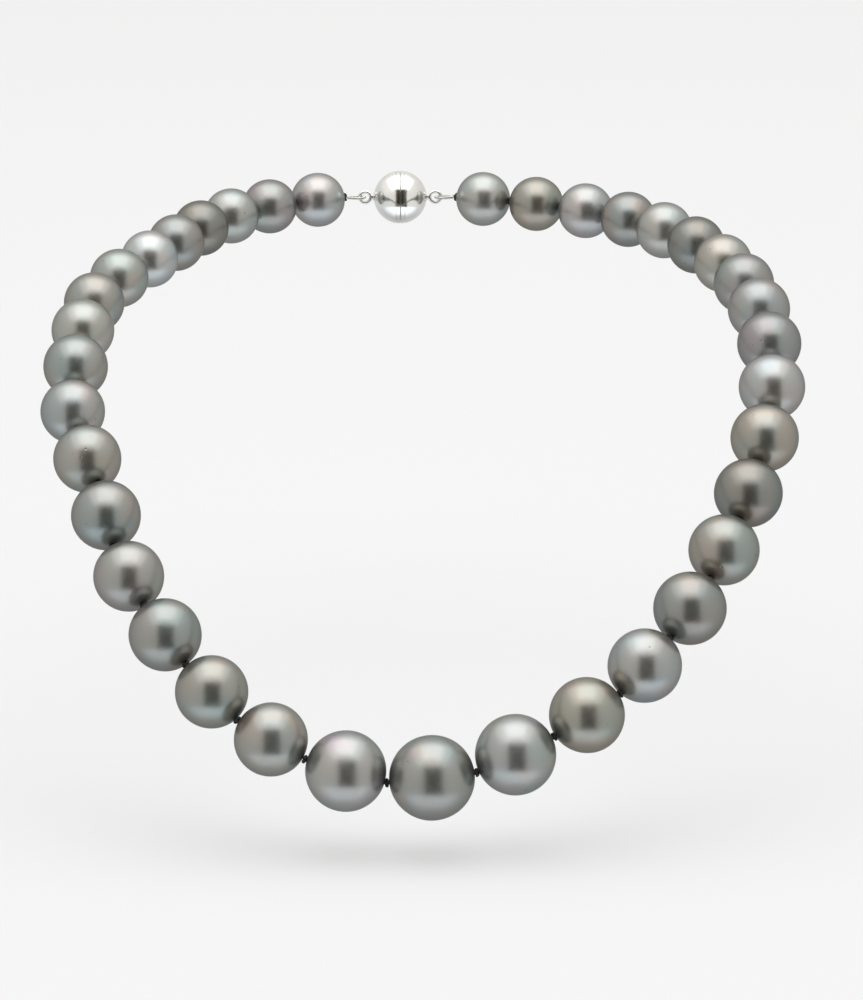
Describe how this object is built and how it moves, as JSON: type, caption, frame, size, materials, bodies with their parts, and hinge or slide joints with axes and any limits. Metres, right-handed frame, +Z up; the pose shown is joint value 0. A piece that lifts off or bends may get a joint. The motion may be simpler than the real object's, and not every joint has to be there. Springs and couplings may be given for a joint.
{
  "type": "pearl necklace",
  "caption": "Graduated strand of grey drilled pearls knotted on black silk thread, worn round the neck and closed at the nape by a magnetic ball clasp.",
  "frame": {"origin": "middle of the neck opening at the height of the nape", "axes": "+Z up along the neck, -Y towards the front where the largest pearl hangs, +Y towards the clasp at the nape, +X to the right seen from the front"},
  "size_m": [0.1211, 0.1462, 0.0727],
  "materials": {
    "pearl_silver_blue": "satin",
    "pearl_silver_green": "satin",
    "pearl_grey_green": "satin",
    "pearl_taupe": "satin",
    "pearl_mauve": "satin",
    "pearl_champagne": "satin",
    "pearl_olive": "satin",
    "pearl_graphite": "satin",
    "silk_thread": "matte",
    "white_gold": "polished",
    "plated_magnet": "satin",
    "gimp_wire": "satin"
  },
  "bodies": {
    "front_strand": {"pearl_left_01": "pearl_mauve", "pearl_centre": "pearl_grey_green", "pearl_right_01": "pearl_silver_green", "thread_front": "silk_thread"},
    "left_strand_1": {"pearl_left_02": "pearl_taupe", "pearl_left_03": "pearl_olive", "pearl_left_04": "pearl_grey_green", "thread_left_1": "silk_thread"},
    "left_strand_2": {"pearl_left_05": "pearl_mauve", "pearl_left_06": "pearl_grey_green", "pearl_left_07": "pearl_champagne", "thread_left_2": "silk_thread"},
    "left_strand_3": {"pearl_left_08": "pearl_silver_blue", "pearl_left_09": "pearl_grey_green", "pearl_left_10": "pearl_silver_green", "thread_left_3": "silk_thread"},
    "left_strand_4": {"pearl_left_11": "pearl_champagne", "pearl_left_12": "pearl_silver_green", "pearl_left_13": "pearl_silver_blue", "thread_left_4": "silk_thread"},
    "left_strand_5": {"pearl_left_14": "pearl_taupe", "pearl_left_15": "pearl_graphite", "pearl_left_16": "pearl_silver_green", "thread_left_5": "silk_thread"},
    "left_strand_6": {"pearl_left_17": "pearl_mauve", "pearl_left_18": "pearl_silver_blue", "thread_left_6": "silk_thread", "gimp_left": "gimp_wire"},
    "right_strand_1": {"pearl_right_02": "pearl_olive", "pearl_right_03": "pearl_silver_blue", "pearl_right_04": "pearl_taupe", "thread_right_1": "silk_thread"},
    "right_strand_2": {"pearl_right_05": "pearl_olive", "pearl_right_06": "pearl_graphite", "pearl_right_07": "pearl_champagne", "thread_right_2": "silk_thread"},
    "right_strand_3": {"pearl_right_08": "pearl_silver_blue", "pearl_right_09": "pearl_mauve", "pearl_right_10": "pearl_silver_blue", "thread_right_3": "silk_thread"},
    "right_strand_4": {"pearl_right_11": "pearl_mauve", "pearl_right_12": "pearl_champagne", "pearl_right_13": "pearl_graphite", "thread_right_4": "silk_thread"},
    "right_strand_5": {"pearl_right_14": "pearl_silver_green", "pearl_right_15": "pearl_taupe", "pearl_right_16": "pearl_silver_blue", "thread_right_5": "silk_thread"},
    "right_strand_6": {"pearl_right_17": "pearl_olive", "pearl_right_18": "pearl_silver_green", "thread_right_6": "silk_thread", "gimp_right": "gimp_wire"},
    "clasp_socket_half": {"clasp_socket_shell": "white_gold", "clasp_socket_magnet": "plated_magnet", "clasp_ring_left": "white_gold"},
    "clasp_plug_half": {"clasp_plug_shell": "white_gold", "clasp_plug_magnet": "plated_magnet", "clasp_ring_right": "white_gold"}
  },
  "joints": [
    {"name": "left_knot_bend_1", "type": "hinge", "parent": "front_strand", "child": "left_strand_1", "pos_m": [-0.01955, -0.06144, -0.05881], "axis": [0, 0, 1], "range_deg": [0, 20]},
    {"name": "left_knot_bend_2", "type": "hinge", "parent": "left_strand_1", "child": "left_strand_2", "pos_m": [-0.04449, -0.04726, -0.03834], "axis": [0, 0, 1], "range_deg": [0, 16]},
    {"name": "left_knot_bend_3", "type": "hinge", "parent": "left_strand_2", "child": "left_strand_3", "pos_m": [-0.05604, -0.02289, -0.01726], "axis": [0, 0, 1], "range_deg": [0, 8]},
    {"name": "left_back_lift", "type": "hinge", "parent": "left_strand_3", "child": "left_strand_4", "pos_m": [-0.0561, 0.00701, -0.00536], "axis": [0.998, 0.06, 0.0201], "range_deg": [0, 35]},
    {"name": "left_knot_bend_5", "type": "hinge", "parent": "left_strand_4", "child": "left_strand_5", "pos_m": [-0.04411, 0.03474, -0.00079], "axis": [0, 0, 1], "range_deg": [-22, 0]},
    {"name": "left_knot_bend_6", "type": "hinge", "parent": "left_strand_5", "child": "left_strand_6", "pos_m": [-0.03113, 0.06155, 0.00006], "axis": [0, 0, 1], "range_deg": [-20.7, 0]},
    {"name": "left_clasp_swivel", "type": "hinge", "parent": "left_strand_6", "child": "clasp_socket_half", "pos_m": [-0.01237, 0.07225, 0], "axis": [0, 0, 1], "range_deg": [-1.3, 0]},
    {"name": "right_knot_bend_1", "type": "hinge", "parent": "front_strand", "child": "right_strand_1", "pos_m": [0.01871, -0.05973, -0.0557], "axis": [0, 0, -1], "range_deg": [0, 20]},
    {"name": "right_knot_bend_2", "type": "hinge", "parent": "right_strand_1", "child": "right_strand_2", "pos_m": [0.04306, -0.04264, -0.0354], "axis": [0, 0, -1], "range_deg": [0, 16]},
    {"name": "right_knot_bend_3", "type": "hinge", "parent": "right_strand_2", "child": "right_strand_3", "pos_m": [0.05357, -0.0169, -0.01498], "axis": [0, 0, -1], "range_deg": [0, 8]},
    {"name": "right_back_lift", "type": "hinge", "parent": "right_strand_3", "child": "right_strand_4", "pos_m": [0.05195, 0.0135, -0.00319], "axis": [0.998, 0.06, 0.0201], "range_deg": [0, 35]},
    {"name": "right_knot_bend_5", "type": "hinge", "parent": "right_strand_4", "child": "right_strand_5", "pos_m": [0.04139, 0.04225, -0.00008], "axis": [0, 0, -1], "range_deg": [-20, 0]},
    {"name": "right_knot_bend_6", "type": "hinge", "parent": "right_strand_5", "child": "right_strand_6", "pos_m": [0.02206, 0.06471, 0], "axis": [0, 0, -1], "range_deg": [-26.6, 0]},
    {"name": "right_clasp_swivel", "type": "hinge", "parent": "right_strand_6", "child": "clasp_plug_half", "pos_m": [0.00149, 0.07251, 0], "axis": [0, 0, -1], "range_deg": [0, 2.6]}
  ],
  "couplings": [
    {"joint": "left_knot_bend_2", "follows": "left_knot_bend_1", "ratio": 0.8},
    {"joint": "left_knot_bend_3", "follows": "left_knot_bend_1", "ratio": 0.4},
    {"joint": "left_knot_bend_5", "follows": "left_knot_bend_1", "ratio": -1.1},
    {"joint": "left_knot_bend_6", "follows": "left_knot_bend_1", "ratio": -1.035},
    {"joint": "left_clasp_swivel", "follows": "left_knot_bend_1", "ratio": -0.065},
    {"joint": "right_knot_bend_2", "follows": "right_knot_bend_1", "ratio": 0.8},
    {"joint": "right_knot_bend_3", "follows": "right_knot_bend_1", "ratio": 0.4},
    {"joint": "right_knot_bend_5", "follows": "right_knot_bend_1", "ratio": -1},
    {"joint": "right_knot_bend_6", "follows": "right_knot_bend_1", "ratio": -1.3298},
    {"joint": "right_clasp_swivel", "follows": "right_knot_bend_1", "ratio": 0.1298},
    {"joint": "right_back_lift", "follows": "left_back_lift", "ratio": 1}
  ]
}
